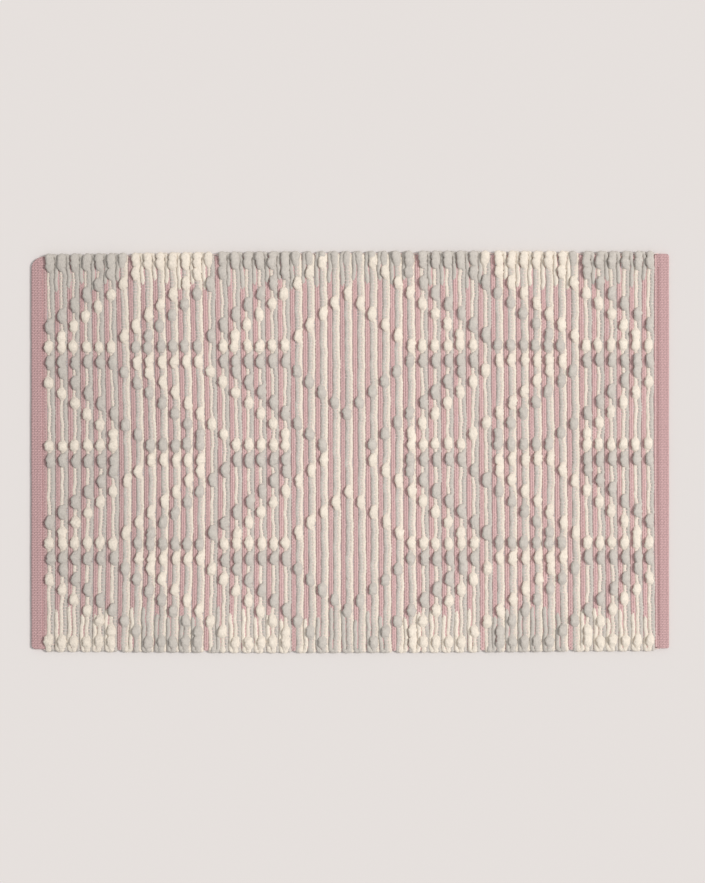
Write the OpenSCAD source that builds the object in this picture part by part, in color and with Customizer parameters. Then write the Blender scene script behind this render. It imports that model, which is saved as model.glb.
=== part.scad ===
// Hand-loomed cotton bath mat with a bobble pattern.
// Thin warp ends run along X. Thick ribs of one cream and one grey weft run along Y,
// with a narrow strip of thin pink ground picks between every two ribs. At the places
// that the chart names, one of the two thick wefts is pulled up into a round bobble.
// Both warp ends finish in a folded and stitched pink hem.
// The origin is under the middle of the mat, on the floor. X runs along its length.

/* [Mat] */
// Length from the fold of one hem to the fold of the other
mat_l = 800; // [660:5:1000]
// Length of a rib, which is the width of the mat
mat_w = 505; // [420:5:620]

/* [Pattern yarns] */
// Diameter of the soft cream yarn as it lies in its shed
cream_d = 5; // [4:0.1:6]
// Diameter of the soft grey yarn as it lies in its shed
grey_d = 5.6; // [4:0.1:6.8]

/* [Ground cloth] */
// Diameter of one thin pink ground pick
pick_d = 2.4; // [1.2:0.1:3]
// Space between a rib and the single pick that lies against each hem
edge_clear = 0.1; // [0.1:0.1:1]
// Distance between two warp ends
warp_pitch = 2.1; // [1.8:0.1:4]
// Width of one warp end, pressed flat
warp_w = 1.2; // [0.8:0.1:1.6]
// Thickness of one warp end
warp_t = 1; // [0.6:0.1:1.6]
// Bare selvedge beside the first and last warp end and past each ground pick
selvedge = 2.5; // [1:0.5:5]

/* [Bobbles] */
// Least space between two neighbouring bobbles
bobble_gap = 0.1; // [0.1:0.1:2]
// How far a bobble sits from the rib's middle towards its own yarn
bobble_shift = 1.5; // [0.5:0.1:2]
// How far every bobble leans over the ground strip on its left
bobble_lean = 1; // [0:0.1:1.5]
// Height of a bobble above the underside of its cap
bobble_h = 4; // [2.5:0.5:5]
// Diameter of the pulled loop between a bobble and its yarn
loop_d = 3.6; // [2.4:0.1:3.8]
// Distance from each selvedge to the first row of bobbles
row_margin = 14; // [11:0.5:20]
// Distance between the two mirror-image rows where the chart turns round
turn_gap = 19; // [14:0.5:24]

/* [Tucked yarn tails] */
// Length of a cut tail that is tucked back beside its rib
tail_l = 40; // [20:1:60]
// Space on each side of a tail in the strip between two ribs
tail_clear = 0.8; // [0.2:0.1:1]

/* [Hems] */
// Depth of a hem from its fold to its stitched edge
hem_l = 16.5; // [12:0.5:30]
// Thickness of a hem, both layers together
hem_t = 4; // [3:0.1:6]
// Gap between the two layers of a hem
hem_slit = 0.2; // [0.1:0.1:0.5]
// How far each end of a hem stays short of the ribs' ends
hem_inset = 4; // [2:0.5:8]
// Corner radius of the left hem at the back
left_back_corner_r = 15; // [2:0.5:16]
// Corner radius of the left hem at the front
left_front_corner_r = 6; // [2:0.5:16]
// Corner radius of the right hem, at both ends
right_corner_r = 3; // [2:0.5:16]

/* [Hem stitching] */
// Length of one lockstitch
stitch_l = 3.5; // [2:0.1:6]
// Thickness of the sewing threads
thread_d = 0.6; // [0.4:0.1:0.8]
// Distance from the hem's inner edge to the stitching
stitch_edge = 2.5; // [1.5:0.5:5]
// Space round a thread in its needle hole
hole_clear = 0.1; // [0.05:0.05:0.2]

/* [Hidden] */
$fn = 48;

cream_color = "#EADFCE";
grey_color = "#B8B5A9";
pink_color = "#CA9C9C";
warp_color = "#DCC4BC";
thread_color = "#C48F92";

CREAM = 1;
GREY = 2;

// The chart: 7 bands of 7 ribs, and 4 segments of 9 rows of bobbles.
bands = 7;
band_ribs = 7;
ribs = bands * band_ribs;
segments = 4;
seg_rows = 9;
rows = segments * seg_rows;
// The middle band, counted from either hem
mid_band = floor(bands / 2);
// Ribs from which the cream and the grey weft lie the other way round
pair_swaps = [6, 13, 20, 30, 36, 43];

// Places along X. Beside each hem there is only room for one pick, and what the ribs
// and these two edge strips leave is shared out between the strips between ribs.
ribs_start = hem_l - mat_l / 2;
edge_strip = pick_d + edge_clear;
rib_w = cream_d + grey_d;
strip_w = (mat_l - 2 * (hem_l + edge_strip) - ribs * rib_w) / (ribs - 1);
rib_pitch = rib_w + strip_w;
picks = max(1, floor(strip_w / pick_d));

// Places along Y, counted from the back selvedge towards the front
row_step = (mat_w - 2 * row_margin - (segments - 1) * turn_gap) / (segments * (seg_rows - 1));
warps = floor((mat_w - 2 * selvedge - warp_w) / warp_pitch) + 1;

// Heights
rib_z = warp_t;
cap_z = rib_z + max(cream_d, grey_d) + bobble_gap;
bobble_d = min(rib_pitch - 2 * bobble_shift, row_step) - bobble_gap;
// Radius of the ball whose cap is as wide and as high as a bobble
cap_r = (pow(bobble_d / 2, 2) + pow(bobble_h, 2)) / (2 * bobble_h);
tail_top = cap_z - bobble_gap;
// A tail lies on the middle pick of its strip, or in the groove between the two middle
// ones. It fits between the two ribs, and under the bobbles that lean over it.
tail_d = min(strip_w - 2 * tail_clear, tail_top - rib_z - pick_d);
tail_lift = picks % 2 == 1 ? (pick_d + tail_d) / 2
    : sqrt(pow((pick_d + tail_d) / 2, 2) - pow(pick_d / 2, 2));
tail_z = rib_z + pick_d / 2 + tail_lift - tail_d / 2;

// Stitching
stitch_hole = thread_d + 2 * hole_clear;
hem_w = mat_w - 2 * hem_inset;
stitch_run = hem_w - 2 * max(left_back_corner_r, left_front_corner_r, right_corner_r);
stitches = floor(stitch_run / stitch_l);

// A rib's twin on the near side of the mat's middle
function twin(rib) = min(rib, ribs - 1 - rib);

// Yarn of the first row of a segment, in one band
function anchor_yarn(band, seg) = (band + seg) % 2 == 0 ? CREAM : GREY;
function other_yarn(yarn) = CREAM + GREY - yarn;

// Yarns pulled up at one place. t is the rib's twin, and k counts rows from the
// segment's turning row. Each band has a full first row, two diagonal lines that
// climb away from it, and a nearly full last row.
function lines_at(t, k, seg) = [
    for (band = [0 : mid_band])
        let (
            p = t - band_ribs * band,
            a = anchor_yarn(band, seg),
            side = band < mid_band,
            first = band == 0 ? 0 : -1,
            last = side ? band_ribs - 2 : mid_band
        )
        if (side && k == 0 && p >= 0 && p <= last) a
        else if (side && p == k) a
        else if (p == k - 2 && p >= first && p <= last) other_yarn(a)
        else if (side && k == seg_rows - 1 && p >= -first && p <= last) other_yarn(a)
];

function bobble_yarn(rib, row) =
    let (
        seg = floor(row / seg_rows),
        i = row % seg_rows,
        k = seg % 2 == 0 ? seg_rows - 1 - i : i,
        found = lines_at(twin(rib), k, seg)
    )
    len(found) > 0 ? found[0] : 0;

// Whether the cream weft lies on the left of its rib
function cream_left(rib) = len([for (s = pair_swaps) if (s <= rib) s]) % 2 == 0;
function yarn_side(rib, yarn) = cream_left(rib) == (yarn == CREAM) ? -1 : 1;
function yarn_d(yarn) = yarn == CREAM ? cream_d : grey_d;

// Middle of the strip on the left of a rib
function strip_x(strip) = ribs_start + edge_strip - strip_w / 2 + rib_pitch * strip;
function rib_x(rib) = strip_x(rib + 0.5);
function yarn_x(rib, yarn) = rib_x(rib) + yarn_side(rib, yarn) * (rib_w - yarn_d(yarn)) / 2;
function bobble_x(rib, yarn) = rib_x(rib) + yarn_side(rib, yarn) * bobble_shift - bobble_lean;
function row_y(row) =
    mat_w / 2 - row_margin - row * row_step
    - floor(row / seg_rows) * (turn_gap - row_step);

// Yarn that is cut and tucked back at a rib's end: the one of its outermost bobbles,
// except in the middle band, where it is the grey one at both ends
function tail_yarn(rib, seg) =
    let (band = floor(twin(rib) / band_ribs))
    band == mid_band ? GREY : other_yarn(anchor_yarn(band, seg));

// Yarn of the tail in one strip: from the rib on its left or the rib on its right,
// whichever has that yarn beside the strip
function strip_tail(strip, seg) =
    let (l = tail_yarn(strip - 1, seg), r = tail_yarn(strip, seg))
    yarn_side(strip - 1, l) == 1 ? l
    : yarn_side(strip, r) == -1 ? r
    : 0;

// A straight yarn along Y with rounded ends, resting on height z
module lying_yarn(x, y0, y1, z, d) {
    r = d / 2;
    translate([x, y0 + r, z + r]) rotate([-90, 0, 0]) cylinder(d = d, h = y1 - y0 - d);
    translate([x, y0 + r, z + r]) sphere(d = d);
    translate([x, y1 - r, z + r]) sphere(d = d);
}

module pulled_loops(rib, yarn) {
    for (row = [0 : rows - 1])
        if (bobble_yarn(rib, row) == yarn)
            translate([yarn_x(rib, yarn), row_y(row), rib_z + yarn_d(yarn) / 2])
                cylinder(d = loop_d, h = cap_z + bobble_h / 3 - rib_z - yarn_d(yarn) / 2);
}

module bobble_caps(rib, yarn) {
    intersection() {
        union()
            for (row = [0 : rows - 1])
                if (bobble_yarn(rib, row) == yarn)
                    translate([bobble_x(rib, yarn), row_y(row), cap_z + bobble_h - cap_r])
                        sphere(r = cap_r);
        translate([rib_x(rib) - rib_pitch, -mat_w / 2, cap_z])
            cube([2 * rib_pitch, mat_w, bobble_h + 1]);
    }
}

// One whole pattern weft of a rib, with its bobbles
module pattern_weft(rib, yarn) {
    union() {
        lying_yarn(yarn_x(rib, yarn), -mat_w / 2, mat_w / 2, rib_z, yarn_d(yarn));
        pulled_loops(rib, yarn);
        bobble_caps(rib, yarn);
    }
}

module weft_band(band, yarn) {
    for (rib = [band * band_ribs : (band + 1) * band_ribs - 1]) pattern_weft(rib, yarn);
}

// One thin pink pick along Y
module ground_pick(x) {
    translate([x, selvedge - mat_w / 2, rib_z + pick_d / 2])
        rotate([-90, 0, 0]) cylinder(d = pick_d, h = mat_w - 2 * selvedge);
}

// The picks of the strip on the right of each rib, and the single pick at each hem
module ground_band(band) {
    color(pink_color) {
        if (band == 0) ground_pick(ribs_start + pick_d / 2);
        for (strip = [band * band_ribs + 1 : (band + 1) * band_ribs])
            if (strip < ribs)
                for (i = [0 : picks - 1])
                    ground_pick(strip_x(strip) + (i - (picks - 1) / 2) * pick_d);
        if (band == bands - 1) ground_pick(-ribs_start - pick_d / 2);
    }
}

module warp_ends() {
    color(warp_color)
        for (i = [0 : warps - 1])
            translate([ribs_start, (i - (warps - 1) / 2) * warp_pitch - warp_w / 2, 0])
                cube([mat_l - 2 * hem_l, warp_w, warp_t]);
}

// Tails at the back selvedge (seg 0) or the front one (last seg)
module tails(yarn, seg) {
    y0 = seg == 0 ? mat_w / 2 - tail_l : -mat_w / 2;
    for (strip = [1 : ribs - 1])
        if (strip_tail(strip, seg) == yarn)
            lying_yarn(strip_x(strip), y0, y0 + tail_l, tail_z, tail_d);
}

// Waste outside a rounded corner at the origin, in the quadrant of +X and +Y
module corner_waste(r) {
    translate([0, 0, -1])
        linear_extrude(hem_t + 2)
            difference() {
                translate([-1, -1]) square(r + 1);
                translate([r, r]) circle(r);
            }
}

// A hem with its fold at x = 0 and its inner edge at x = hem_l, and a rounded corner at
// the back and at the front
module folded_hem(back_r, front_r) {
    difference() {
        translate([0, hem_w / 2, 0])
            rotate([90, 0, 0])
                linear_extrude(hem_w) {
                    translate([hem_t / 2, hem_t / 2]) circle(d = hem_t);
                    translate([hem_t / 2, 0]) square([hem_l - hem_t / 2, hem_t]);
                }
        translate([hem_t / 2, -hem_w / 2 - 1, (hem_t - hem_slit) / 2])
            cube([hem_l, hem_w + 2, hem_slit]);
        translate([0, hem_w / 2, 0]) mirror([0, 1, 0]) corner_waste(back_r);
        translate([0, -hem_w / 2, 0]) corner_waste(front_r);
        needle_holes();
        translate([hem_l - stitch_edge - stitch_hole / 2, -stitch_run / 2 - 1, -1])
            cube([stitch_hole, stitch_run + 2, 1 + stitch_hole]);
    }
}

function stitch_y(i) = (i - stitches / 2) * stitch_l;

module needle_holes() {
    for (i = [0 : stitches])
        translate([hem_l - stitch_edge - stitch_hole / 2, stitch_y(i) - stitch_hole / 2, -1])
            cube([stitch_hole, stitch_hole, hem_t + 2]);
}

// Thread legs at every needle hole, from height z0 to height z1
module thread_legs(z0, z1) {
    for (i = [0 : stitches])
        translate([-thread_d / 2, stitch_y(i) - thread_d / 2, z0])
            cube([thread_d, thread_d, z1 - z0]);
}

module thread_run(z) {
    translate([-thread_d / 2, stitch_y(0) - thread_d / 2, z])
        cube([thread_d, stitches * stitch_l + thread_d, thread_d]);
}

// The needle thread lies on the hem and dips to the middle of the cloth
module needle_thread() {
    color(thread_color)
        translate([hem_l - stitch_edge, 0, 0]) {
            thread_run(hem_t);
            thread_legs(hem_t / 2, hem_t);
        }
}

// The bobbin thread lies in the groove that it presses into the underside
module bobbin_thread() {
    color(thread_color)
        translate([hem_l - stitch_edge, 0, 0]) {
            thread_run(hole_clear);
            thread_legs(hole_clear, hem_t / 2);
        }
}

module at_left() {
    translate([-mat_l / 2, 0, 0]) children();
}

module at_right() {
    translate([mat_l / 2, 0, 0]) mirror([1, 0, 0]) children();
}

module ground_weft_1() ground_band(0);
module ground_weft_2() ground_band(1);
module ground_weft_3() ground_band(2);
module ground_weft_4() ground_band(3);
module ground_weft_5() ground_band(4);
module ground_weft_6() ground_band(5);
module ground_weft_7() ground_band(6);

module cream_weft_1() color(cream_color) weft_band(0, CREAM);
module cream_weft_2() color(cream_color) weft_band(1, CREAM);
module cream_weft_3() color(cream_color) weft_band(2, CREAM);
module cream_weft_4() color(cream_color) weft_band(3, CREAM);
module cream_weft_5() color(cream_color) weft_band(4, CREAM);
module cream_weft_6() color(cream_color) weft_band(5, CREAM);
module cream_weft_7() color(cream_color) weft_band(6, CREAM);

module grey_weft_1() color(grey_color) weft_band(0, GREY);
module grey_weft_2() color(grey_color) weft_band(1, GREY);
module grey_weft_3() color(grey_color) weft_band(2, GREY);
module grey_weft_4() color(grey_color) weft_band(3, GREY);
module grey_weft_5() color(grey_color) weft_band(4, GREY);
module grey_weft_6() color(grey_color) weft_band(5, GREY);
module grey_weft_7() color(grey_color) weft_band(6, GREY);

module cream_tails_back() color(cream_color) tails(CREAM, 0);
module cream_tails_front() color(cream_color) tails(CREAM, segments - 1);
module grey_tails_back() color(grey_color) tails(GREY, 0);
module grey_tails_front() color(grey_color) tails(GREY, segments - 1);

module hem_left() color(pink_color) at_left() folded_hem(left_back_corner_r, left_front_corner_r);
module hem_right() color(pink_color) at_right() folded_hem(right_corner_r, right_corner_r);
module hem_left_needle_thread() at_left() needle_thread();
module hem_left_bobbin_thread() at_left() bobbin_thread();
module hem_right_needle_thread() at_right() needle_thread();
module hem_right_bobbin_thread() at_right() bobbin_thread();

warp_ends();
ground_weft_1();
ground_weft_2();
ground_weft_3();
ground_weft_4();
ground_weft_5();
ground_weft_6();
ground_weft_7();
cream_weft_1();
cream_weft_2();
cream_weft_3();
cream_weft_4();
cream_weft_5();
cream_weft_6();
cream_weft_7();
grey_weft_1();
grey_weft_2();
grey_weft_3();
grey_weft_4();
grey_weft_5();
grey_weft_6();
grey_weft_7();
cream_tails_back();
cream_tails_front();
grey_tails_back();
grey_tails_front();
hem_left();
hem_right();
hem_left_needle_thread();
hem_left_bobbin_thread();
hem_right_needle_thread();
hem_right_bobbin_thread();
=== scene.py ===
# %% [markdown]
# # A bobble bath mat, yarn by yarn
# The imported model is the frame: it says how long the mat is, where its hems end and
# how wide its ribs lie. Everything below is built around it, with +X along the mat, +Y
# along the ribs and +Z up. A weaver thinks in millimetres, so the shapes are worked
# out in millimetres and scaled to metres once, when a mesh is made.

# %% Load the frame
import math

import bpy
import numpy as np
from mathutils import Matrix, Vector


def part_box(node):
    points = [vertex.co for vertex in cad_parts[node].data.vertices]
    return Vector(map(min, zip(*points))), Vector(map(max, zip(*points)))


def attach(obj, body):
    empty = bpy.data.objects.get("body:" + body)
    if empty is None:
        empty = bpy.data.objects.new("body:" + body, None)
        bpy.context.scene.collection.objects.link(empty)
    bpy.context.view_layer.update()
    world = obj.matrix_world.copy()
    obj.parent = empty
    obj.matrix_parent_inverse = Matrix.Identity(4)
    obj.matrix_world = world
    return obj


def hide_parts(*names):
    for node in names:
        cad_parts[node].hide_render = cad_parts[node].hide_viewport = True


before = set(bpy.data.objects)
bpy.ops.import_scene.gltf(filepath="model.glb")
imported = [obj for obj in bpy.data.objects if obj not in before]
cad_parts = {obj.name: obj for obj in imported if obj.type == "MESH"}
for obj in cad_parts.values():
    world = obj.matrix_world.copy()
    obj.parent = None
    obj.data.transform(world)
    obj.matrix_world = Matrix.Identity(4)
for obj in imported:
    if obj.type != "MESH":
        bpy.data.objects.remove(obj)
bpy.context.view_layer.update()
MM = 0.001

# %% [markdown]
# ## The sett of the cloth
# A weaver plans a mat by counting: so many ribs between the hems, so many warp ends.
# The counts are the design, and the distances follow from the frame's boxes.

# %% Where the ribs, the strips and the selvedges lie


def node_box(node):
    """Lowest and highest corner of a node of the frame, in millimetres."""
    return [np.array(corner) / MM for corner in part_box(node)]


left_hem, right_hem = node_box("hem_left"), node_box("hem_right")
BANDS, BAND_RIBS = 7, 7
RIBS = BANDS * BAND_RIBS
HALF_L = right_hem[1][0]
HALF_W = node_box("grey_weft_1")[1][1]
RIBS_START, RIBS_END = left_hem[1][0], right_hem[0][0]
PITCH = (RIBS_END - RIBS_START) / RIBS
WARP_PITCH = 2.1
WARP_ENDS = 238
print(f"rib pitch {PITCH:.2f} mm, {WARP_ENDS} warp ends over {WARP_ENDS * WARP_PITCH:.0f} mm")

# %% Thickness of the yarns as they lie in the cloth
CREAM, GREY = 1, 2
YARN_NAME = {CREAM: "cream", GREY: "grey"}
YARN_W = {CREAM: 5.0, GREY: 5.6}
YARN_H = {CREAM: 4.5, GREY: 4.9}
RIB_BOTTOM = 0.9
PICK_R, PICK_Z, PICK_HALF = 1.4, 3.8, 1.2
WARP_R = 0.5
for yarn in (CREAM, GREY):
    print(f"the {YARN_NAME[yarn]} yarn lies {YARN_W[yarn]} mm wide and {YARN_H[yarn]} mm high")

# %% [markdown]
# ## The chart
# The bobbles are not scattered: they follow a chart, like a cross-stitch pattern. There
# are four segments of nine rows, each the mirror image of the next, and seven bands of
# seven ribs. In every side band a full first row starts two diagonal lines of opposite
# yarns, and a last row closes the triangle. Writing the rule down is shorter than
# listing 644 bobbles, and it can't hold a slip in one place only.

# %% Which yarn is pulled up at a rib and a row
SEGMENTS, SEG_ROWS = 4, 9
ROWS = SEGMENTS * SEG_ROWS
MID_BAND = BANDS // 2
PAIR_SWAPS = (6, 13, 20, 30, 36, 43)


def twin(rib):
    """A rib's mirror image on the left half of the mat."""
    return min(rib, RIBS - 1 - rib)


def anchor_yarn(band, seg):
    """Yarn of the first row of a segment: the two alternate like a chessboard."""
    return CREAM if (band + seg) % 2 == 0 else GREY


def other_yarn(yarn):
    return CREAM + GREY - yarn


def bobble_yarn(rib, row):
    """Yarn pulled up at one place of the chart, or 0 where the cloth stays plain."""
    seg, i = divmod(row, SEG_ROWS)
    k = SEG_ROWS - 1 - i if seg % 2 == 0 else i
    for band in range(MID_BAND + 1):
        p, side = twin(rib) - BAND_RIBS * band, band < MID_BAND
        first, last = (0 if band == 0 else -1), (BAND_RIBS - 2 if side else MID_BAND)
        if side and (k == p or (k == 0 and 0 <= p <= last)):
            return anchor_yarn(band, seg)
        if p == k - 2 and first <= p <= last:
            return other_yarn(anchor_yarn(band, seg))
        if side and k == SEG_ROWS - 1 and -first <= p <= last:
            return other_yarn(anchor_yarn(band, seg))
    return 0


chart = np.array([[bobble_yarn(rib, row) for row in range(ROWS)] for rib in range(RIBS)])
print("bobbles:", int((chart == CREAM).sum()), "cream and", int((chart == GREY).sum()), "grey")

# %% Places of the rows, the strips and the yarns
ROW_MARGIN, TURN_GAP = 14.0, 19.0
YARN_OFF, LEAN_X = 2.2, 0.2
ROW_STEP = (2 * (HALF_W - ROW_MARGIN) - (SEGMENTS - 1) * TURN_GAP) / (SEGMENTS * (SEG_ROWS - 1))


def row_y(row):
    return HALF_W - ROW_MARGIN - row * ROW_STEP - (row // SEG_ROWS) * (TURN_GAP - ROW_STEP)


def strip_x(strip):
    """Middle of the pink strip on the left of the rib of that number."""
    return RIBS_START + PITCH * strip


def yarn_side(rib, yarn):
    """-1 where the yarn lies on the left of its rib, and 1 on the right."""
    cream_left = sum(swap <= rib for swap in PAIR_SWAPS) % 2 == 0
    return -1 if cream_left == (yarn == CREAM) else 1


LEAN_IN_MIDDLE, LEAN_GROWTH = 0.15, 1.15


def lean(rib):
    """How far the ribs lean to the left, from 0 on the right to 1 near the left end, so
    that the right yarn of a rib covers part of the left one."""
    return np.clip(LEAN_IN_MIDDLE - LEAN_GROWTH * strip_x(rib + 0.5) / HALF_L, 0, 1)


def yarn_x(rib, yarn):
    return strip_x(rib + 0.5) + yarn_side(rib, yarn) * YARN_OFF - LEAN_X * lean(rib)


def tail_yarn(rib, seg):
    """The yarn that is cut and tucked back at a rib's end: that of its last bobbles, or
    the grey one in the middle band."""
    band = twin(rib) // BAND_RIBS
    return GREY if band == MID_BAND else other_yarn(anchor_yarn(band, seg))


def warp_y(end):
    return (end - (WARP_ENDS - 1) / 2) * WARP_PITCH


print(f"rows of bobbles are {ROW_STEP:.1f} mm apart, and {TURN_GAP} mm where the chart turns")

# %% [markdown]
# ## Hand-loomed cloth is never square
# The beater packs the ribs a little unevenly, and the mat relaxes when it comes off the
# loom, so the ribs wander by a millimetre or two. Each piece could be bent by itself,
# but moving every point of every piece by one smooth function keeps them together.

# %% The lay of the cloth
SKEW, SPREAD, WAVE, BOW, EDGE_BOW, SHEAR = 1.1, 1.2, 0.9, 2.2, 1.6, 1.2
SKEW_GROWTH, SPREAD_STILL = 0.6, 0.3
WAVE_START, WAVE_L = 0.84, 1.6
BOW_AT, BOW_REACH, BOW_START, BOW_TURN = -0.62, 0.32, 0.3, 0.9 * math.pi
EDGE_BOW_AT, EDGE_BOW_REACH = 0.93, 0.12
HEM_POWER = 8
DRAW_IN, NARROW, NARROW_REACH = 1.0, {-1: 2.6, 1: 1.2}, 0.5


def hump(u, middle, width):
    """A smooth hill, 1 in its middle: e to the power of minus the distance squared."""
    return np.exp(-(((u - middle) / width) ** 2))


def lay(points):
    """Moves points sideways. With u and v the place along and across the mat from -1 to
    1, x gains a skew in v, a spread and a wave in u, and a bow in v that is strongest a
    fifth of the way in from the left, with an opposite one near the right edge. All fade
    out at the hems, as 1 - u^8, and the whole mat lies DRAW_IN to the left. y gains a
    shear in u, and both ends are a little narrower, the left one more."""
    u, v = points[:, 0] / HALF_L, points[:, 1] / HALF_W
    shift = SPREAD * (u**2 - SPREAD_STILL) + WAVE * np.cos(math.tau * (u + WAVE_START) / WAVE_L)
    shift -= SKEW * (1 + SKEW_GROWTH * u) * v
    shift += BOW * hump(u, BOW_AT, BOW_REACH) * np.cos(BOW_TURN * v + BOW_START)
    shift -= EDGE_BOW * hump(u, EDGE_BOW_AT, EDGE_BOW_REACH) * np.cos(math.pi * v)
    shift = shift * (1 - np.clip(np.abs(u), 0, 1) ** HEM_POWER) - DRAW_IN
    across = SHEAR * u - v * sum(NARROW[end] * hump(u, end, NARROW_REACH) for end in NARROW)
    return points + np.stack([shift, across, np.zeros_like(u)], axis=-1)


# %% [markdown]
# ## The stage
# A mat is looked at from straight above, from far enough away that its ends are seen
# almost square on, so the camera has a long lens. One soft sun from the right, slightly
# from behind, gives each bobble a dark left side, and an even sky fills the shadows. A
# sun is chosen over an area lamp because it doesn't fall off across the floor. The
# floor would leave the mat's underside in the dark, so it is open where the mat hides
# it, and clear from below.

# %% Camera
CAMERA_H = 2.2
VIEW_W = 0.8855
VIEW_CENTRE = (0.0019, 0.0132)


def add_camera():
    data = bpy.data.cameras.new("camera")
    data.sensor_fit = "HORIZONTAL"
    data.lens = data.sensor_width * CAMERA_H / VIEW_W
    camera = bpy.data.objects.new("camera", data)
    camera.location = (*VIEW_CENTRE, CAMERA_H)
    bpy.context.collection.objects.link(camera)
    bpy.context.scene.camera = camera
    print(f"lens {data.lens:.0f} mm, {CAMERA_H} m above the floor")


add_camera()

# %% Lights, and a floor that is open under the mat


def linear(*srgb):
    """A colour given from 0 to 255 as shown on a screen, in linear light."""
    share = np.array(srgb) / 255
    return (*np.where(share <= 0.04045, share / 12.92, ((share + 0.055) / 1.055) ** 2.4), 1.0)


SUN_FROM = (0.78, 0.14, 0.86)
SUN_POWER, SUN_WIDTH = 2.05, 0.25
SUN_COLOUR = (1.0, 0.985, 0.96)
SKY_POWER = 0.53
FLOOR_COLOUR = linear(229, 224, 222)
FLOOR_SIZE, FLOOR_Z = 6.0, -0.1 * MM
OPENING_INSET = 12.0


def add_lights():
    data = bpy.data.lights.new("sun", "SUN")
    data.energy, data.angle = SUN_POWER, SUN_WIDTH
    data.color = SUN_COLOUR
    sun = bpy.data.objects.new("sun", data)
    sun.rotation_euler = Vector(SUN_FROM).to_track_quat("Z", "Y").to_euler()
    bpy.context.collection.objects.link(sun)
    sky = bpy.data.worlds.new("sky")
    sky.use_nodes = True
    sky.node_tree.nodes["Background"].inputs["Color"].default_value = (1.0, 1.0, 1.0, 1.0)
    sky.node_tree.nodes["Background"].inputs["Strength"].default_value = SKY_POWER
    bpy.context.scene.world = sky
    bpy.context.scene.view_settings.view_transform = "Standard"


def frame_corners(half_x, half_y):
    """Corners of a rectangle on the floor, the way round that makes it face up."""
    return [(x * half_x, y * half_y, FLOOR_Z) for x, y in ((-1, -1), (1, -1), (1, 1), (-1, 1))]


def add_floor():
    """A wide square with an opening under the mat, so that the sky lights the mat's
    underside too when it is looked at from below."""
    outer = frame_corners(FLOOR_SIZE / 2, FLOOR_SIZE / 2)
    inner = frame_corners((HALF_L - OPENING_INSET) * MM, (HALF_W - OPENING_INSET) * MM)
    sides = [(i, (i + 1) % 4, 4 + (i + 1) % 4, 4 + i) for i in range(4)]
    mesh = bpy.data.meshes.new("floor")
    mesh.from_pydata(outer + inner, [], sides)
    floor = bpy.data.objects.new("floor", mesh)
    bpy.context.collection.objects.link(floor)
    paint = bpy.data.materials.new("pale_floor")
    paint.use_nodes = True
    tree = paint.node_tree
    shader = tree.nodes["Principled BSDF"]
    shader.inputs["Base Color"].default_value = FLOOR_COLOUR
    shader.inputs["Roughness"].default_value = 1.0
    shader.inputs["Specular IOR Level"].default_value = 0.0
    below = tree.nodes.new("ShaderNodeNewGeometry").outputs["Backfacing"]
    clear = tree.nodes.new("ShaderNodeBsdfTransparent").outputs[0]
    mix = tree.nodes.new("ShaderNodeMixShader")
    for socket, source in zip(mix.inputs, (below, shader.outputs[0], clear)):
        tree.links.new(source, socket)
    tree.links.new(mix.outputs[0], tree.nodes["Material Output"].inputs["Surface"])
    floor.data.materials.append(paint)


add_lights()
add_floor()

# %% [markdown]
# ## Cotton, as a finish
# Soft cotton yarn has no gloss. What the eye reads as cotton is a bundle of fine fibres
# that run along the yarn, a slight change of tone from place to place, and a pale bloom
# at its edges. The fibres could be real hairs, but half a million hairs are slow to
# draw. So each mesh carries a fibre coordinate, which runs along its yarn wherever the
# yarn goes, and one node group, shared by all the yarns, draws streaks with it.

# %% A helper that adds shader nodes


def add_node(tree, kind, feeds=None, **settings):
    """Adds a node. feeds gives its inputs by name or number: a socket or a value."""
    made = tree.nodes.new("ShaderNode" + kind)
    for name, value in settings.items():
        setattr(made, name, value)
    for key, source in (feeds or {}).items():
        if isinstance(source, bpy.types.NodeSocket):
            tree.links.new(source, made.inputs[key])
        else:
            made.inputs[key].default_value = source
    return made


def new_group(name, inputs, outputs):
    """An empty node group and its input and output nodes."""
    group = bpy.data.node_groups.new(name, "ShaderNodeTree")
    for way, sockets in (("INPUT", inputs), ("OUTPUT", outputs)):
        for label, kind in sockets.items():
            group.interface.new_socket(label, in_out=way, socket_type="NodeSocket" + kind)
    given = group.nodes.new("NodeGroupInput").outputs
    made = group.nodes.new("NodeGroupOutput").inputs
    return group, given, made


# %% The spun fibres of a yarn
FIBRES_ACROSS, FIBRES_ALONG = 2.6, 0.22
FIBRE_ROUGH, FIBRE_WAVER = 0.65, 0.4
CLOUD, LUMPS = 0.32, 3.0


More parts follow.
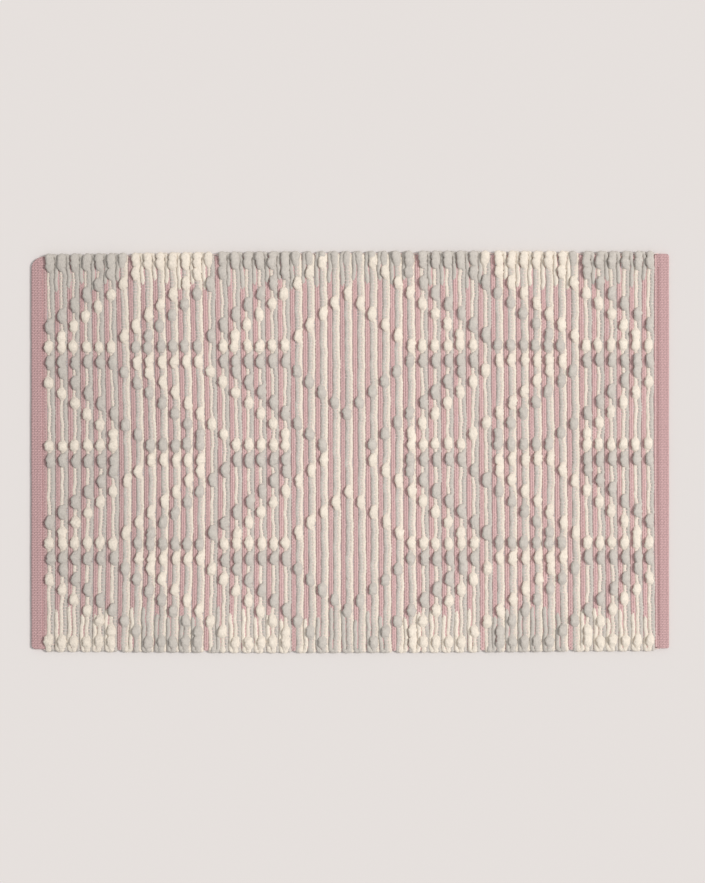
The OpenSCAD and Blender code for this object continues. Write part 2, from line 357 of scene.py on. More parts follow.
def spun_fibres():
    """Streaks along the yarn from a stretched noise, clouds of tone from a wide one, and
    each yarn's own tone. The streaks and the clouds also make the bump, since a soft yarn
    is lumpy as well as hairy."""
    group, given, made = new_group(
        "spun_fibres",
        {"Fibre": "Vector", "Tone": "Float", "Colour": "Color", "Streaks": "Float",
         "Clouds": "Float", "Depth": "Float"},
        {"Colour": "Color", "Normal": "Vector"},
    )
    stretch = {0: given["Fibre"], 1: (FIBRES_ACROSS, FIBRES_ACROSS, FIBRES_ALONG)}
    drawn = add_node(group, "VectorMath", stretch, operation="MULTIPLY").outputs[0]
    streak = add_node(group, "TexNoise", {"Vector": drawn, "Scale": 1.0, "Detail": 3.0,
                                          "Roughness": FIBRE_ROUGH,
                                          "Distortion": FIBRE_WAVER}).outputs[0]
    cloud = add_node(group, "TexNoise", {"Vector": given["Fibre"], "Scale": CLOUD,
                                         "Detail": 3.0}).outputs[0]
    level = add_node(group, "Math", {0: given["Tone"], 1: 1.0}, operation="ADD").outputs[0]
    for noise, amount in ((streak, given["Streaks"]), (cloud, given["Clouds"])):
        even = add_node(group, "Math", {0: noise, 1: 0.5}, operation="SUBTRACT").outputs[0]
        feeds = {0: even, 1: amount, 2: level}
        level = add_node(group, "Math", feeds, operation="MULTIPLY_ADD").outputs[0]
    tint = {0: given["Colour"], "Scale": level}
    tinted = add_node(group, "VectorMath", tint, operation="SCALE").outputs[0]
    feeds = {0: cloud, 1: LUMPS, 2: streak}
    height = add_node(group, "Math", feeds, operation="MULTIPLY_ADD").outputs[0]
    bump = add_node(group, "Bump", {"Strength": 1.0, "Distance": given["Depth"], "Height": height})
    group.links.new(tinted, made["Colour"])
    group.links.new(bump.outputs[0], made["Normal"])
    return group


SPUN_FIBRES = spun_fibres()

# %% The cotton materials
COTTON_ROUGH, COTTON_GLOSS = 0.95, 0.12
SHEEN_ROUGH = 0.5


def cotton(name, colour, streaks, clouds, depth, sheen):
    """A matt cotton: spun fibres under a soft sheen. depth is in millimetres."""
    paint = bpy.data.materials.new(name)
    paint.use_nodes = True
    tree = paint.node_tree
    fibre = add_node(tree, "Attribute", attribute_name="fibre").outputs["Vector"]
    tone = add_node(tree, "Attribute", attribute_name="tone").outputs["Fac"]
    look = {"Fibre": fibre, "Tone": tone, "Colour": colour, "Streaks": streaks,
            "Clouds": clouds, "Depth": depth * MM}
    yarn = add_node(tree, "Group", look, node_tree=SPUN_FIBRES)
    shader = tree.nodes["Principled BSDF"]
    tree.links.new(yarn.outputs["Colour"], shader.inputs["Base Color"])
    tree.links.new(yarn.outputs["Normal"], shader.inputs["Normal"])
    shader.inputs["Roughness"].default_value = COTTON_ROUGH
    shader.inputs["Specular IOR Level"].default_value = COTTON_GLOSS
    shader.inputs["Sheen Weight"].default_value = sheen
    shader.inputs["Sheen Roughness"].default_value = SHEEN_ROUGH
    return paint


CREAM_DYE, GREY_DYE = linear(235, 224, 210), linear(202, 195, 187)
YARN_PAINT = {
    CREAM: cotton("cream_cotton", CREAM_DYE, streaks=0.6, clouds=0.3, depth=0.5, sheen=0.15),
    GREY: cotton("grey_cotton", GREY_DYE, streaks=0.6, clouds=0.3, depth=0.5, sheen=0.15),
}
PINK, PALE_PINK, DUSTY_PINK = linear(212, 176, 175), linear(240, 218, 212), linear(206, 162, 162)
PICK_PAINT = cotton("pink_cotton", PINK, streaks=0.6, clouds=0.36, depth=0.35, sheen=0.15)
WARP_PAINT = cotton("warp_cotton", PALE_PINK, streaks=0.3, clouds=0.1, depth=0.05, sheen=0.1)
THREAD_PAINT = cotton("sewing_thread", DUSTY_PINK, streaks=0.3, clouds=0.1, depth=0.04, sheen=0.1)

# %% [markdown]
# ## From surfaces to meshes
# Almost everything in a mat is a tube: a bundle of fibres swept along a path. A curve
# with a bevel would be quick to set up, but it can't be pressed flat where a warp end
# holds it down. So the tubes are worked out as grids of points, a ring at each step of
# the path, and hundreds of them are gathered into one mesh.

# %% Painted light and shade from end to end
# Painted light and shade along the mat: a base tone, a painted rise towards the right end and painted
# shade at the left end.
TONE_BASE, PAINTED_LIGHT_RISE = 0.068, 0.014
PAINTED_SHADE_LEFT, PAINTED_SHADE_REACH = 0.115, 0.45


def painted_light_and_shade(points):
    """The tone rises a little with the place along the mat, from -1 to 1, and is lower at
    the left end, as a hump that has its middle at that end. Both are painted light and
    shade: the right end, towards the sun, is painted lighter and the left end darker."""
    u = points[:, 0] / HALF_L
    return TONE_BASE + PAINTED_LIGHT_RISE * u - PAINTED_SHADE_LEFT * hump(u, -1.0, PAINTED_SHADE_REACH)


# %% Gather surfaces and make one mesh


class Gathered:
    """Surfaces that become one mesh: their points in millimetres, the fibre coordinate
    and the tone of each point, and their faces as rows of point numbers."""

    def __init__(self):
        self.points, self.fibres, self.tones = [], [], []
        self.quads, self.corners = [], []
        self.count = 0

    def add(self, points, fibres, tones, quads, corners):
        """Adds a surface whose faces count its own points from 0."""
        self.points.append(points.reshape(-1, 3))
        self.fibres.append(fibres.reshape(-1, 3))
        self.tones.append(np.broadcast_to(tones, points.shape[:-1]).ravel())
        self.quads.append(quads.reshape(-1, 4) + self.count)
        self.corners.append(corners.reshape(-1, 3) + self.count)
        self.count += self.points[-1].shape[0]

    def piece(self, name, paint, slot, *nodes):
        """One smooth mesh object that lies as lay() says and stands for these nodes."""
        quads, corners = np.concatenate(self.quads), np.concatenate(self.corners)
        mesh = bpy.data.meshes.new(name)
        mesh.vertices.add(self.count)
        mesh.vertices.foreach_set("co", (lay(np.concatenate(self.points)) * MM).ravel())
        mesh.loops.add(quads.size + corners.size)
        mesh.loops.foreach_set("vertex_index", np.concatenate([quads.ravel(), corners.ravel()]))
        starts = [4 * np.arange(len(quads)), quads.size + 3 * np.arange(len(corners))]
        mesh.polygons.add(len(quads) + len(corners))
        mesh.polygons.foreach_set("loop_start", np.concatenate(starts))
        mesh.update(calc_edges=True)
        mesh.shade_smooth()
        fibre = mesh.attributes.new("fibre", "FLOAT_VECTOR", "POINT")
        fibre.data.foreach_set("vector", np.concatenate(self.fibres).ravel())
        tone = mesh.attributes.new("tone", "FLOAT", "POINT")
        # Every point's tone also gets the painted light and shade along the mat.
        tones = np.concatenate(self.tones) + painted_light_and_shade(np.concatenate(self.points))
        tone.data.foreach_set("value", tones)
        mesh.materials.append(paint)
        made = bpy.data.objects.new(name, mesh)
        bpy.context.collection.objects.link(made)
        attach(made, "root")
        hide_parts(*nodes)
        print(f"{name}: {2 * len(quads) + len(corners)} triangles")
        return made


# %% Faces of tubes


def ring_faces(tubes, rings, sides):
    """Faces of tubes that each have rings of points, then a start pole and an end pole.
    A quad joins two neighbours on one ring to those on the next; each pole has a fan."""
    ring, side = np.meshgrid(np.arange(rings - 1), np.arange(sides), indexing="ij")
    here, after = ring * sides + side, ring * sides + (side + 1) % sides
    quads = np.stack([here, here + sides, after + sides, after], axis=-1).reshape(-1, 4)
    side, last = np.arange(sides), (rings - 1) * sides
    after = (side + 1) % sides
    start = np.stack([np.full(sides, rings * sides), side, after], axis=-1)
    end = np.stack([np.full(sides, rings * sides + 1), last + after, last + side], axis=-1)
    own = np.arange(tubes)[:, None, None] * (rings * sides + 2)
    return quads + own, np.concatenate([start, end]) + own


# %% Sweep tubes along paths
SKYWARD = np.array([0.0, 0.0, 1.0])


def unit(vectors):
    return vectors / np.linalg.norm(vectors, axis=-1, keepdims=True)


def add_tubes(gathered, paths, wide, above, below, sides, twist, tones, shift,
              upright=False, flat=1.0, tilt=0.0):
    """A tube along each of paths[tube, ring, xyz]. A ring's point at angle a lies wide
    times cos a to the side of the path and, where sin a is positive, above times sin a
    over it, else below times sin a under it. A power below 1 of the sine, flat, squares
    the section off, and tilt lowers one side and lifts the other. Upright rings don't
    lean with the path. The fibre coordinate is the place in the round section, turned by
    twist for each millimetre, and the length along the path plus the tube's own shift."""
    tubes, rings = paths.shape[:2]
    shape = (tubes, rings)
    wide, above, below = (np.broadcast_to(size, shape)[..., None] for size in (wide, above, below))
    forward = unit(np.gradient(paths, axis=1) * ((1, 1, 0) if upright else 1))
    across = unit(np.cross(forward, SKYWARD))
    angle = math.tau * np.arange(sides) / sides - math.pi / 2
    rise = np.sign(np.sin(angle)) * np.abs(np.sin(angle)) ** np.reshape(flat, (1, -1, 1))
    lift = np.where(rise > 0, above, below) * rise
    lift = lift - np.reshape(tilt, (1, -1, 1)) * wide * np.cos(angle)
    points = paths[:, :, None] + across[:, :, None] * (wide * np.cos(angle))[..., None]
    points = points + np.cross(across, forward)[:, :, None] * lift[..., None]
    points = np.concatenate([points.reshape(tubes, -1, 3), paths[:, :1], paths[:, -1:]], axis=1)
    step = np.linalg.norm(np.diff(paths, axis=1), axis=-1)
    run = np.concatenate([np.zeros((tubes, 1)), np.cumsum(step, axis=1)], axis=1)[..., None]
    turned, middle = angle + twist * run, np.zeros((tubes, 1, 2))
    section = np.stack([wide * np.cos(turned), above * np.sin(turned), run + np.zeros(sides)], axis=-1)
    ends = (run[:, :1], run[:, -1:])
    poles = [np.concatenate([middle, end], axis=-1) for end in ends]
    fibres = np.concatenate([section.reshape(tubes, -1, 3), *poles], axis=1)
    fibres = fibres + np.reshape(shift, (-1, 1, 1))
    gathered.add(points, fibres, np.reshape(tones, (-1, 1)), *ring_faces(tubes, rings, sides))


# %% [markdown]
# ## The two pattern yarns
# Each rib is two soft, barely twisted yarns that lie side by side, cream and grey. The
# thin warp ends hold them down: every second end passes over a rib, and the next rib is
# held by the ends between. So a yarn is not a plain cylinder but a row of shallow
# swells, one for each tick of the warp. The beat is in the ring's size, and a slow
# random drift keeps the ribs from looking ruled.

# %% Ticks and drifts
SEED = 11
rng = np.random.default_rng(SEED)
TICK = 2 * WARP_PITCH
RING_STEP = TICK / 3
TICK_TOP, TICK_SIDE = 0.22, 0.22
END_R, END_LEAST = 2.4, 0.05
DRIFT_SIZES, DRIFT_LENGTHS = (0.22, 0.14, 0.07), (170.0, 61.0, 23.0)
WANDER_SIZES, WANDER_LENGTHS = (0.4, 0.4, 0.36, 0.24), (160.0, 64.0, 31.0, 17.0)
FIBRE_RUN = 900


def warp_over(insertion):
    """A place across the mat where an end passes over this insertion of weft."""
    return warp_y(insertion % 2)


def pressed(y, insertion):
    """1 under the ends that pass over an insertion of weft, and 0 halfway between."""
    return 0.5 + 0.5 * np.cos(math.tau * (y - warp_over(insertion)) / TICK)


def drift(y, sizes=DRIFT_SIZES, lengths=DRIFT_LENGTHS):
    """A slow random wave: three sines of these heights and lengths."""
    phases = rng.uniform(0, math.tau, len(sizes))
    return sum(a * np.sin(math.tau * y / l + p) for a, l, p in zip(sizes, lengths, phases))


wander_phases = rng.uniform(0, math.tau, (RIBS, len(WANDER_SIZES)))


def wander(rib, y):
    """The slow random wave that both yarns of a rib share."""
    waves = zip(WANDER_SIZES, WANDER_LENGTHS, wander_phases[rib])
    return sum(a * np.sin(math.tau * y / l + p) for a, l, p in waves)


def round_end(gap):
    """How full a yarn is this far from its cut end: a quarter circle, never quite 0."""
    return np.sqrt(1 - (1 - np.clip(gap / END_R, END_LEAST, 1)) ** 2)


def rib_insertion(rib):
    """Number of a rib among all the insertions of weft: two picks follow each rib."""
    return 3 * rib + 1


print(f"a warp end crosses a rib every {TICK:.1f} mm, and a yarn has a ring every {RING_STEP:.1f} mm")

# %% [markdown]
# ## The bobbles
# At each place of the chart the weaver pulls up one of the two pattern yarns. The loop
# isn't cut or knotted: the yarn just rises, spreads into a soft flat leaf that covers
# the other yarn and hangs over the strip on its left, and dives back into its rib. A
# ball set on a yarn would look like a bead. So the bobble is the yarn itself: its rings
# grow wide, rise and step sideways, and shrink again.

# %% How far a yarn is opened along a rib
HEAD_R, HEAD_HALF = 5.5, 8.2
HEAD_LEAN, HEAD_SIDE = 1.45, 0.6
HEAD_Z, HEAD_UP, HEAD_DOWN = 6.9, 2.6, 1.9
HEAD_TILT = 0.26
HEAD_FLAT = 0.7
WIDTH_POWER, RISE_POWER = 0.6, 0.9
SPOT_SLIP, SPOT_RANGE = 0.5, 0.09
NO_SPOT = [[0.0, 1e-3, 0.0]]
BACK, FRONT = 0, SEGMENTS - 1
KNOB_AT, KNOB_HALF = {BACK: 6.0, FRONT: 3.0}, {BACK: 14.0, FRONT: 6.0}
KNOB_SIZE = {BACK: 1.0, FRONT: 0.3}
BAND_KNOB = {MID_BAND: 0.55, BANDS - 1: 0.7}
KNOB_LEAST, KNOB_MOST = 0.9, 1.05


def edge_sign(seg):
    """1 at the back selvedge and -1 at the front one."""
    return 1 if seg == BACK else -1


def opened(y, places, halves, sizes):
    """Two shares from 0 to 1 at each y: how wide the yarn is opened and how far it has
    risen. With t from -1 to 1 over a bobble, width follows a full curve, (1 - t^2) to
    the power 0.6, and height a gentler one, to the power 0.9. The largest one counts."""
    t = (y[:, None] - places) / halves
    inside = np.clip(1 - t * t, 0, 1)
    width, rise = sizes * inside**WIDTH_POWER, sizes * inside**RISE_POWER
    return width.max(axis=1), rise.max(axis=1)


def bobble_places(rib, yarn):
    """Place, half length and size of each opening: the chart's bobbles, and a knob at
    each selvedge where this yarn turns back. NO_SPOT, of size 0, keeps the list from
    being empty."""
    found = [(row_y(row), HEAD_HALF, 1.0) for row in range(ROWS) if chart[rib, row] == yarn]
    spots = np.array(found).reshape(-1, 3)
    spots[:, 0] += rng.normal(0, SPOT_SLIP, len(spots))
    spots[:, 1:] *= 1 + SPOT_RANGE * rng.uniform(-1, 1, (len(spots), 2))
    full = BAND_KNOB.get(rib // BAND_RIBS, 1.0)
    knobs = [(edge_sign(seg) * (HALF_W - KNOB_AT[seg]), KNOB_HALF[seg],
              KNOB_SIZE[seg] * full * rng.uniform(KNOB_LEAST, KNOB_MOST))
             for seg in (BACK, FRONT) if tail_yarn(rib, seg) == yarn]
    return np.concatenate([spots, np.array(knobs).reshape(-1, 3), NO_SPOT])


# %% One pattern yarn along its rib, with its bobbles
PLUMP, PLUMP_DRIFT = 1.22, 7
ROUGH_SIZES, ROUGH_LENGTHS = (0.035, 0.04, 0.04), (17.0, 9.3, 6.1)
HEAD_ROUGH, STRAY = 1.6, 0.3
LEAN_W, LEAN_Z, LEAN_FRONT = 0.3, 0.3, 0.2
YARN_SIDES, YARN_TWIST, YARN_TONE = 12, 0.02, 0.018


def add_rib_yarn(gathered, rib, yarn, y_low, y_high):
    """Upright rings at every third of a tick. Under an end that passes over, the top
    sinks by TICK_TOP of its height and the sides by TICK_SIDE. Where the yarn is opened
    the ring grows from the yarn's section to the head's, and moves to the head's place.
    Where the ribs lean, the right yarn is wider and higher and the left one less."""
    insertion = rib_insertion(rib)
    first = math.ceil((y_low - warp_over(insertion)) / RING_STEP)
    last = math.floor((y_high - warp_over(insertion)) / RING_STEP)
    even = warp_over(insertion) + RING_STEP * np.arange(first, last + 1)
    y = np.concatenate([[y_low], even[1:-1], [y_high]])
    wide, risen = opened(y, *bobble_places(rib, yarn).T)
    held = pressed(y, insertion) * (1 - risen)
    full = round_end(np.minimum(y - y_low, y_high - y))
    side = yarn_side(rib, yarn)
    rough = drift(y, ROUGH_SIZES, ROUGH_LENGTHS)
    plump = PLUMP + drift(y) / PLUMP_DRIFT + rough
    over = lean(rib) * (LEAN_FRONT + y / HALF_W)
    half_w = YARN_W[yarn] / 2 * plump * (1 - TICK_SIDE * held) + LEAN_W * side * over
    half_h = YARN_H[yarn] / 2
    head_x = strip_x(rib + 0.5) - HEAD_LEAN + side * HEAD_SIDE
    lying_x = yarn_x(rib, yarn) - LEAN_W * max(side, 0) * over
    x = lying_x + (head_x - lying_x) * wide + wander(rib, y) + STRAY * drift(y)
    z = RIB_BOTTOM + half_h + LEAN_Z * side * over
    z = z + (HEAD_Z - z) * risen
    half_w = (half_w + (HEAD_R * (1 + HEAD_ROUGH * rough) - half_w) * wide) * full
    above = (half_h * (1 - TICK_TOP * held) + (HEAD_UP - half_h) * risen) * full
    below = (half_h + (HEAD_DOWN - half_h) * risen) * full
    tone, shift = rng.normal(0, YARN_TONE), rng.uniform(0, FIBRE_RUN)
    path = np.stack([x, y, z], axis=-1)
    add_tubes(gathered, path[None], half_w, above, below, YARN_SIDES, YARN_TWIST, tone, shift,
              upright=True, flat=1 - (1 - HEAD_FLAT) * risen, tilt=HEAD_TILT * risen)


# %% [markdown]
# ## The tucked ends
# At both selvedges one pattern yarn of each rib is cut. Its end turns round the last
# warp end, is tucked back beside its own rib, and is woven in for the width of a hand.
# So the strips are narrow near the selvedges, and two strands of one yarn lie together.

# %% Turned-back tails
TAIL_W, TAIL_H, TAIL_Z = 2.8, 2.1, 4.2
TURN_DEPTH, TAIL_LEFT = 2.1, 0.55
TURN_GAP_IN, TURN_RINGS, TURN_LEAD = 0.3, 9, (5.0, 2.0)
BACK_START, BACK_RINGS, BACK_DRIFT = 2.5, 22, 0.5
RISE_RINGS = 7
TAPER_L, TAPER_LEAST = 4.0, 0.2
TAIL_SIDES, TAIL_TWIST, TAIL_TONE = 8, 0.05, 0.02
TAIL_L, TAIL_RANGE = {BACK: 43.0, FRONT: 51.0}, {BACK: 7.0, FRONT: 9.0}


def add_tail(gathered, rib, yarn, seg):
    """A path that comes out of the yarn, turns round on half a circle and comes back,
    rising on the way. Its last rings taper. It lies TAIL_LEFT to the left of the middle
    of its strip, so it touches the rib on its left and not the one on its right."""
    turn, side = np.linspace(0, math.pi, TURN_RINGS), yarn_side(rib, yarn)
    radius = abs(strip_x(rib + (side > 0)) - TAIL_LEFT - yarn_x(rib, yarn)) / 2
    turn_in = TURN_DEPTH + TAIL_W + TURN_GAP_IN
    length = TAIL_L[seg] + rng.uniform(-TAIL_RANGE[seg], TAIL_RANGE[seg])
    lead = turn_in + np.array(TURN_LEAD)
    back = np.linspace(turn_in + BACK_START, length, BACK_RINGS)
    depth = np.concatenate([lead, turn_in - TURN_DEPTH * np.sin(turn), back])
    strayed = 2 * radius + BACK_DRIFT * drift(back)
    aside = np.concatenate([0 * lead, radius * (1 - np.cos(turn)), strayed])
    rise = np.clip((np.arange(len(depth)) - len(lead)) / RISE_RINGS, 0, 1)
    low = RIB_BOTTOM + YARN_H[yarn] / 2
    z = low + (TAIL_Z - low) * rise + np.where(rise == 1, BACK_DRIFT * drift(depth), 0)
    x = yarn_x(rib, yarn) + side * aside + wander(rib, edge_sign(seg) * (HALF_W - depth))
    path = np.stack([x, edge_sign(seg) * (HALF_W - depth), z], axis=-1)
    slim = np.clip((length - depth) / TAPER_L, TAPER_LEAST, 1) ** 0.5
    slim[:len(lead) + len(turn)] = 1
    tone, shift = rng.normal(0, TAIL_TONE), rng.uniform(0, FIBRE_RUN)
    add_tubes(gathered, path[None], TAIL_W * slim, TAIL_H * slim, TAIL_H * slim,
              TAIL_SIDES, TAIL_TWIST, tone, shift)


def tail_rib(strip, seg):
    """The rib whose tail lies in a strip, or None: the one on the strip's left if its
    cut yarn is on that side, or else the one on its right."""
    for rib, side in ((strip - 1, 1), (strip, -1)):
        if yarn_side(rib, tail_yarn(rib, seg)) == side:
            return rib
    return None


# %% Weave the pattern yarns, band by band
CUT_SHORT = {BACK: 3.5, FRONT: 0.8}
TURNED_SHORT = 0.2


def yarn_end(rib, yarn, seg):
    """Where a yarn stops at a selvedge: the cut one turns, the other is covered."""
    short = TURNED_SHORT if tail_yarn(rib, seg) == yarn else CUT_SHORT[seg]
    return edge_sign(seg) * (HALF_W - short)


def weave_band(band, yarn):
    gathered = Gathered()
    for rib in range(BAND_RIBS * band, BAND_RIBS * (band + 1)):
        add_rib_yarn(gathered, rib, yarn, yarn_end(rib, yarn, FRONT), yarn_end(rib, yarn, BACK))
    name, node = YARN_NAME[yarn], f"{YARN_NAME[yarn]}_weft_{band + 1}"
    return gathered.piece(f"{name}_ribs_{band + 1}", YARN_PAINT[yarn], name + "_cotton", node)


for band in range(BANDS):
    for yarn in (CREAM, GREY):
        weave_band(band, yarn)

# %% Tuck in the tails
for seg, edge in ((BACK, "back"), (FRONT, "front")):
    for yarn in (CREAM, GREY):
        gathered = Gathered()
        for strip in range(1, RIBS):
            rib = tail_rib(strip, seg)
            if rib is not None and tail_yarn(rib, seg) == yarn:
                add_tail(gathered, rib, yarn, seg)
        name, node = YARN_NAME[yarn], f"{YARN_NAME[yarn]}_tails_{edge}"
        gathered.piece(f"{name}_tucked_ends_{edge}", YARN_PAINT[yarn], name + "_cotton", node)

# %% [markdown]
# ## The pink ground
# Between two ribs the weaver throws two picks of a thin pink yarn. They hold the ribs
# apart and bind the cloth. The pick goes through, turns at the front selvedge and comes
# back, so the two picks of a strip are one tube with a half turn.

# %% Ground picks
PICK_WAVE = 0.42
PICK_DRIFT_X, PICK_DRIFT_Z = 0.4, 0.25
PICK_SIDES, PICK_TWIST, PICK_TONE = 8, 0.35, 0.025
# PICK_SHADE_REACH is how far the picks' extra painted shade reaches in from the left end.
PICK_FLAT, PICK_SHADE_REACH = 1.15, 0.6


def pick_run(x, insertion, ends):
    """A straight pick that rises where an end passes under it and sinks under the
    others, with a ring at each warp end."""
    y = warp_y(ends)
    z = PICK_Z + PICK_WAVE * (1 - 2 * pressed(y, insertion)) + PICK_DRIFT_Z * drift(y)
    return np.stack([x + PICK_DRIFT_X * drift(y), y, z], axis=-1)


def half_turn(start, end, steps=5):
    """Points between two runs' ends, on half a circle that bulges towards the front."""
    angle = np.linspace(0, math.pi, steps + 2)[1:-1, None]
    middle, half = (start + end) / 2, (start - end) / 2
    bulge = np.array([0, -np.linalg.norm(half), 0])
    return middle + half * np.cos(angle) + bulge * np.sin(angle)


def strip_path(strip):
    """The way of the pink yarn in one strip. The strips beside a hem have one pick."""
    ends = np.arange(1, WARP_ENDS - 1)
    if strip in (0, RIBS):
        inwards = 1 if strip == 0 else -1
        return pick_run(strip_x(strip) + inwards * PICK_HALF, 3 * strip - (strip > 0), ends)
    there = pick_run(strip_x(strip) - PICK_HALF, 3 * strip - 1, ends[::-1])
    back = pick_run(strip_x(strip) + PICK_HALF, 3 * strip, ends)
    return np.concatenate([there, half_turn(there[-1], back[0]), back])


for band in range(BANDS):
    gathered = Gathered()
    own = list(range(band * BAND_RIBS + (band > 0), (band + 1) * BAND_RIBS + 1))
    for strip in own:
        path = strip_path(strip)
        # The picks get more painted shade towards the left end, on top of what every piece gets.
        pick_shade = PAINTED_SHADE_LEFT * hump(strip_x(strip) / HALF_L, -1.0, PICK_SHADE_REACH)
        tone, shift = rng.normal(0, PICK_TONE) - pick_shade, rng.uniform(0, FIBRE_RUN)
        add_tubes(gathered, path[None], PICK_R * PICK_FLAT, PICK_R, PICK_R,
                  PICK_SIDES, PICK_TWIST, tone, shift)
    gathered.piece(f"pink_picks_{band + 1}", PICK_PAINT, "pink_cotton", f"ground_weft_{band + 1}")

# %% [markdown]
# ## The warp
# The warp ends run the length of the mat and are what holds it together, and yet they
# hardly show: they are thin, and they sink into the soft yarns. Each goes over one
# insertion of weft and under the next. Since a rib and its two picks are three
# insertions, an end that passes over one rib passes under the next.

# %% Warp ends
WARP_SINK = 0.12
RIB_SINK = 0.45
UNDER_RIB_Z = 0.46
WARP_SLIP = 0.09
WARP_SIDES, WARP_TWIST, WARP_TONE = 4, 0.3, 0.02
WARP_FLAT = 1.15
HEM_HOLD = 3.0
HEM_MIDDLE = (left_hem[0][2] + left_hem[1][2]) / 2
WARP_PIECES = ("front", "middle", "back")


def warp_stops():
    """Along one end: the x of each stop, the number of its insertion, and the heights
    there when the end passes over and under. A rib has a stop on each yarn's top."""
    over_pick = PICK_Z + PICK_R - WARP_SINK - PICK_WAVE
    under_pick = PICK_Z - PICK_R - WARP_R + PICK_WAVE
    stops = [(strip_x(0) + PICK_HALF, 0, over_pick, under_pick)]
    for rib in range(RIBS):
        for yarn in sorted((CREAM, GREY), key=lambda one: yarn_side(rib, one)):
            top = RIB_BOTTOM + YARN_H[yarn] * (1 - TICK_TOP / 2) - RIB_SINK
            stops.append((yarn_x(rib, yarn), rib_insertion(rib), top, UNDER_RIB_Z))
        picks = (-PICK_HALF,) if rib == RIBS - 1 else (-PICK_HALF, PICK_HALF)
        for i, offset in enumerate(picks):
            x, insertion = strip_x(rib + 1) + offset, rib_insertion(rib) + 1 + i
            stops.append((x, insertion, over_pick, under_pick))
    return np.array(stops).T


def warp_paths(ends):
    """Paths of these ends, from inside one hem to inside the other."""
    x, insertion, over, under = warp_stops()
    goes_over = (ends[:, None] + insertion) % 2 == 0
    z = np.where(goes_over, over, under)
    z = np.pad(z, ((0, 0), (1, 1)), constant_values=HEM_MIDDLE)
    x = np.concatenate([[RIBS_START - HEM_HOLD], x, [RIBS_END + HEM_HOLD]])
    y = warp_y(ends)[:, None] + rng.normal(0, WARP_SLIP, z.shape)
    return np.stack([np.broadcast_to(x, z.shape), y, z], axis=-1)


shares = np.array_split(np.arange(WARP_ENDS), len(WARP_PIECES))
for name, ends in zip(WARP_PIECES, shares):
    gathered = Gathered()
    paths = warp_paths(ends)
    tones, shifts = rng.normal(0, WARP_TONE, len(ends)), rng.uniform(0, FIBRE_RUN, len(ends))
    add_tubes(gathered, paths, WARP_R * WARP_FLAT, WARP_R, WARP_R, WARP_SIDES, WARP_TWIST, tones, shifts)
    gathered.piece(f"warp_ends_{name}", WARP_PAINT, "warp_cotton", "warp_ends")

# %% [markdown]
# ## The hems
# Past the last rib the mat ends in a strip of plain pink cloth, which is folded over
# and stitched down, so the warp can't ravel. It is one sheet of cloth, folded in two,
# and is built so: a single closed shell that goes along the underside, round the fold
# and back along the top, with a wall for the cloth's thickness.

# %% Section of a folded hem
HEM_L = RIBS_START - left_hem[0][0]
HEM_T = left_hem[1][2] - left_hem[0][2]
HEM_HALF = left_hem[1][1]
CLOTH_T = 1.85
STITCH_EDGE, STITCH_L = 2.5, 3.5
STITCHES = 133
GROOVE, GROOVE_W = 0.35, 0.9
BELLY, BELLY_AT, BELLY_REACH = 1.2, 0.72, 0.38
HEM_STEP_X, HEM_STEP_Y = 0.9, 1.05
FOLD_STEPS = 9


def hem_section():
    """Distance from the fold and height of the cloth's outer face, as one line: along
    the underside to the fold, round it on half a circle, and back on the top. The row
    of stitches presses a groove into both faces, and the upper face swells in a belly."""
    radius = HEM_T / 2
    flat = np.linspace(HEM_L, radius, round((HEM_L - radius) / HEM_STEP_X) + 1)
    turn = np.linspace(0, math.pi, FOLD_STEPS)[1:-1]
    press = GROOVE * hump(flat, HEM_L - STITCH_EDGE, GROOVE_W)
    belly = BELLY * hump(flat, HEM_L * BELLY_AT, HEM_L * BELLY_REACH)
    x = np.concatenate([flat, radius * (1 - np.sin(turn)), flat[::-1]])
    z = np.concatenate([press, radius * (1 - np.cos(turn)), (HEM_T + belly - press)[::-1]])
    return x, z


def inner_face(x, z):
    """The section moved inwards by the cloth's thickness, square to the line."""
    along = unit(np.stack([np.gradient(x), np.gradient(z)], axis=-1))
    return x + CLOTH_T * along[:, 1], z - CLOTH_T * along[:, 0]


section_x, section_z = hem_section()

# %% A plain weave, as a finish for the hem cloth
CLOTH_CLOUD, WEAVE_MEAN = 0.45, 1.1


